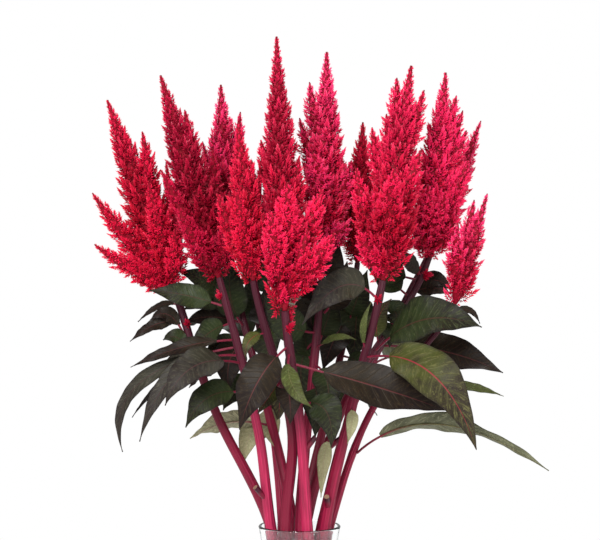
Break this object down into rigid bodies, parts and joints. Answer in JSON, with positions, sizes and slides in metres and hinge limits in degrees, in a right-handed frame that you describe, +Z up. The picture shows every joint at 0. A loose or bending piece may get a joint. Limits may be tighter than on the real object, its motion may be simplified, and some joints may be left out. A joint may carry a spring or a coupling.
{
  "type": "plumed celosia bunch in a glass vase",
  "caption": "Upright bunch of plumed celosia: tall feathery flower spikes and long pointed leaves on ridged stems, standing in a clear glass vase of water.",
  "frame": {"origin": "centre of the underside of the vase, on the surface that it stands on", "axes": "+Z up along the vase's axis; +X to the right and +Y away from the viewer in the pictured view"},
  "size_m": [0.3568, 0.238, 0.577],
  "materials": {
    "clear_glass": "clear, polished",
    "clear_water": "clear liquid",
    "crimson_stem": "satin, ridged",
    "red_floret": "velvety, feathery",
    "dark_leaf": "satin, veined"
  },
  "bodies": {
    "root": {"vase": "clear_glass", "water": "clear_water", "stem_01": "crimson_stem", "stem_02": "crimson_stem", "stem_03": "crimson_stem", "stem_04": "crimson_stem", "stem_05": "crimson_stem", "stem_06": "crimson_stem", "stem_07": "crimson_stem", "stem_08": "crimson_stem", "stem_09": "crimson_stem", "stem_10": "crimson_stem", "stem_11": "crimson_stem", "stem_12": "crimson_stem", "plume_01": "red_floret", "plume_02": "red_floret", "plume_03": "red_floret", "plume_04": "red_floret", "plume_05": "red_floret", "plume_06": "red_floret", "plume_07": "red_floret", "plume_08": "red_floret", "plume_09": "red_floret", "plume_10": "red_floret", "plume_11": "red_floret", "plume_12": "red_floret", "leaf_01": "dark_leaf", "leaf_02": "dark_leaf", "leaf_03": "dark_leaf", "leaf_04": "dark_leaf", "leaf_05": "dark_leaf", "leaf_06": "dark_leaf", "leaf_07": "dark_leaf", "leaf_08": "dark_leaf", "leaf_09": "dark_leaf", "leaf_10": "dark_leaf", "leaf_11": "dark_leaf", "leaf_12": "dark_leaf", "leaf_13": "dark_leaf", "leaf_14": "dark_leaf", "leaf_15": "dark_leaf", "leaf_16": "dark_leaf", "leaf_17": "dark_leaf", "leaf_18": "dark_leaf", "leaf_19": "dark_leaf", "leaf_20": "dark_leaf", "leaf_21": "dark_leaf", "leaf_22": "dark_leaf", "leaf_23": "dark_leaf", "leaf_24": "dark_leaf", "leaf_25": "dark_leaf", "leaf_26": "dark_leaf", "leaf_27": "dark_leaf", "leaf_28": "dark_leaf", "leaf_29": "dark_leaf", "leaf_30": "dark_leaf", "leaf_31": "dark_leaf", "leaf_32": "dark_leaf", "leaf_33": "dark_leaf", "leaf_34": "dark_leaf"}
  },
  "joints": []
}
